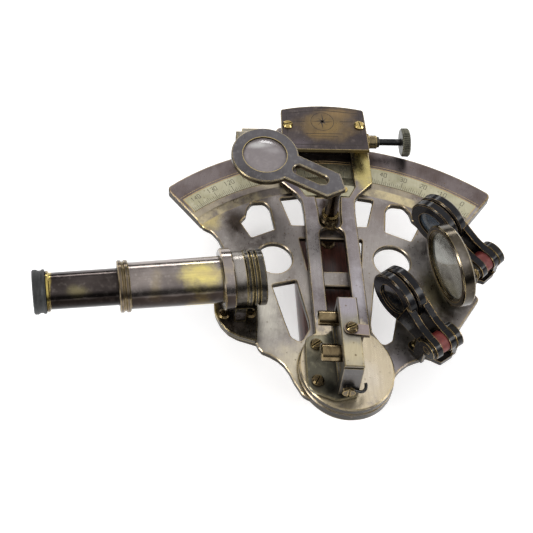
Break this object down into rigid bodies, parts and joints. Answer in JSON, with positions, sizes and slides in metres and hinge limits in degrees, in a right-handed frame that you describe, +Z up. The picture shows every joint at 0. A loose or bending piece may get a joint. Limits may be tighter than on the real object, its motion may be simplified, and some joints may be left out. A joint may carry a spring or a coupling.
{
  "type": "nautical sextant",
  "caption": "Small antiqued-brass nautical sextant with telescope, index and horizon mirrors, hinged shades, swinging index arm, vernier and magnifier.",
  "frame": {"origin": "on the resting plane, on the axis of the index arm's pivot", "axes": "+Z up out of the frame's face (the instrument lies on its three feet), +Y from the index pivot towards the middle of the graduated limb, +X towards the horizon mirror; the telescope lies on the -X side"},
  "size_m": [0.1598, 0.117, 0.0542],
  "materials": {
    "bronze_dark": "darkened bronze, satin, worn to gold on the edges",
    "scale_silver": "silvered inlay, satin",
    "brass_bright": "bright brass, polished",
    "brass_worn": "aged brass, satin",
    "black_lacquer": "gloss black lacquer, rubbed through at the edges",
    "tube_bronze": "antiqued brass tube, satin",
    "draw_black": "black-brown finish, satin",
    "eyecup_black": "black, satin",
    "washer_red": "brick red, matte",
    "shade_dark": "very dark tinted glass",
    "shade_grey": "grey-blue tinted glass",
    "lens_glass": "clear, polished",
    "mirror_glass": "silvered glass",
    "grip_wood": "dark reddish brown, polished",
    "knob_dark": "dark grey-green, knurled"
  },
  "bodies": {
    "frame": {"frame_plate": "bronze_dark", "limb_scale": "scale_silver", "pivot_bush": "brass_worn", "feet": "brass_worn", "pivot_guard": "bronze_dark", "pivot_guard_screws": "brass_worn", "handle_grip": "grip_wood", "handle_pillars": "brass_worn", "handle_screws": "brass_bright", "telescope_bracket": "bronze_dark", "telescope_tube": "tube_bronze", "telescope_guide_ring": "brass_worn", "objective_cell": "brass_worn", "objective_lens": "lens_glass", "horizon_mirror_bracket": "black_lacquer", "horizon_mirror_cell": "bronze_dark", "horizon_mirror_glass": "mirror_glass", "horizon_mirror_retainer": "brass_worn", "horizon_mirror_screws": "brass_worn", "shade_forks": "bronze_dark", "shade_washers": "washer_red", "shade_pivot_screws": "brass_bright", "bracket_screws": "brass_worn"},
    "index_arm": {"index_arm": "bronze_dark", "vernier_plate": "scale_silver", "arm_head_screws": "brass_bright", "pivot_axle": "brass_worn", "pivot_nut": "brass_worn", "pivot_washer": "brass_worn", "index_mirror_foot": "bronze_dark", "index_mirror_frame": "bronze_dark", "index_mirror_glass": "mirror_glass", "index_mirror_adjust_screws": "brass_bright", "index_mirror_screws": "brass_bright", "index_mirror_clip": "brass_worn", "mirror_wire_clip": "brass_worn", "cover_plate": "bronze_dark", "cover_pillars": "brass_worn", "tangent_bearing": "brass_worn", "magnifier_socket": "brass_worn"},
    "magnifier": {"magnifier_arm": "bronze_dark", "magnifier_post": "brass_worn", "magnifier_lens": "lens_glass"},
    "tangent_screw": {"tangent_screw": "black_lacquer", "tangent_knob": "knob_dark", "tangent_collar": "brass_worn"},
    "clamp": {"clamp_block": "brass_worn"},
    "clamp_screw": {"clamp_screw": "knob_dark"},
    "index_shade_a": {"index_shade_a_frame": "black_lacquer", "index_shade_a_glass": "shade_dark"},
    "index_shade_b": {"index_shade_b_frame": "black_lacquer", "index_shade_b_glass": "shade_dark"},
    "horizon_shade_a": {"horizon_shade_a_frame": "black_lacquer", "horizon_shade_a_glass": "shade_grey"},
    "horizon_shade_b": {"horizon_shade_b_frame": "black_lacquer", "horizon_shade_b_glass": "shade_grey"},
    "draw_tube": {"draw_tube": "draw_black", "eyecup": "eyecup_black", "eye_lens": "lens_glass"}
  },
  "joints": [
    {"name": "index_swing", "type": "hinge", "parent": "frame", "child": "index_arm", "pos_m": [0, 0, 0.022], "axis": [0, 0, 1], "range_deg": [-20, 28]},
    {"name": "magnifier_swing", "type": "hinge", "parent": "index_arm", "child": "magnifier", "pos_m": [-0.0003, 0.057, 0.03], "axis": [0, 0, 1], "range_deg": [-58, 20]},
    {"name": "tangent_turn", "type": "hinge", "parent": "index_arm", "child": "tangent_screw", "pos_m": [0, 0.089, 0.03], "axis": [1, 0, 0], "range_deg": [-900, 900]},
    {"name": "clamp_fine", "type": "hinge", "parent": "index_arm", "child": "clamp", "pos_m": [0, 0, 0.022], "axis": [0, 0, 1], "range_deg": [-0.8, 0.8]},
    {"name": "clamp_screw_turn", "type": "hinge", "parent": "clamp", "child": "clamp_screw", "pos_m": [-0.024, 0.0862, 0.01], "axis": [0, 0, 1], "range_deg": [0, 180]},
    {"name": "index_shade_a_swing", "type": "hinge", "parent": "frame", "child": "index_shade_a", "pos_m": [0.0288, 0.0072, 0.0322], "axis": [0.8171, 0.5764, 0], "range_deg": [0, 120]},
    {"name": "index_shade_b_swing", "type": "hinge", "parent": "frame", "child": "index_shade_b", "pos_m": [0.0288, 0.0072, 0.0322], "axis": [0.8171, 0.5764, 0], "range_deg": [0, 120]},
    {"name": "horizon_shade_a_swing", "type": "hinge", "parent": "frame", "child": "horizon_shade_a", "pos_m": [0.0469, 0.0376, 0.0322], "axis": [0.7385, 0.6743, 0], "range_deg": [0, 120]},
    {"name": "horizon_shade_b_swing", "type": "hinge", "parent": "frame", "child": "horizon_shade_b", "pos_m": [0.0469, 0.0376, 0.0322], "axis": [0.7385, 0.6743, 0], "range_deg": [0, 120]},
    {"name": "telescope_focus", "type": "slide", "parent": "frame", "child": "draw_tube", "axis": [0.9934, 0.1149, 0], "range_m": [-0.002, 0.017]}
  ],
  "couplings": [
    {"joint": "clamp_fine", "follows": "tangent_turn", "ratio": 0.000884}
  ]
}
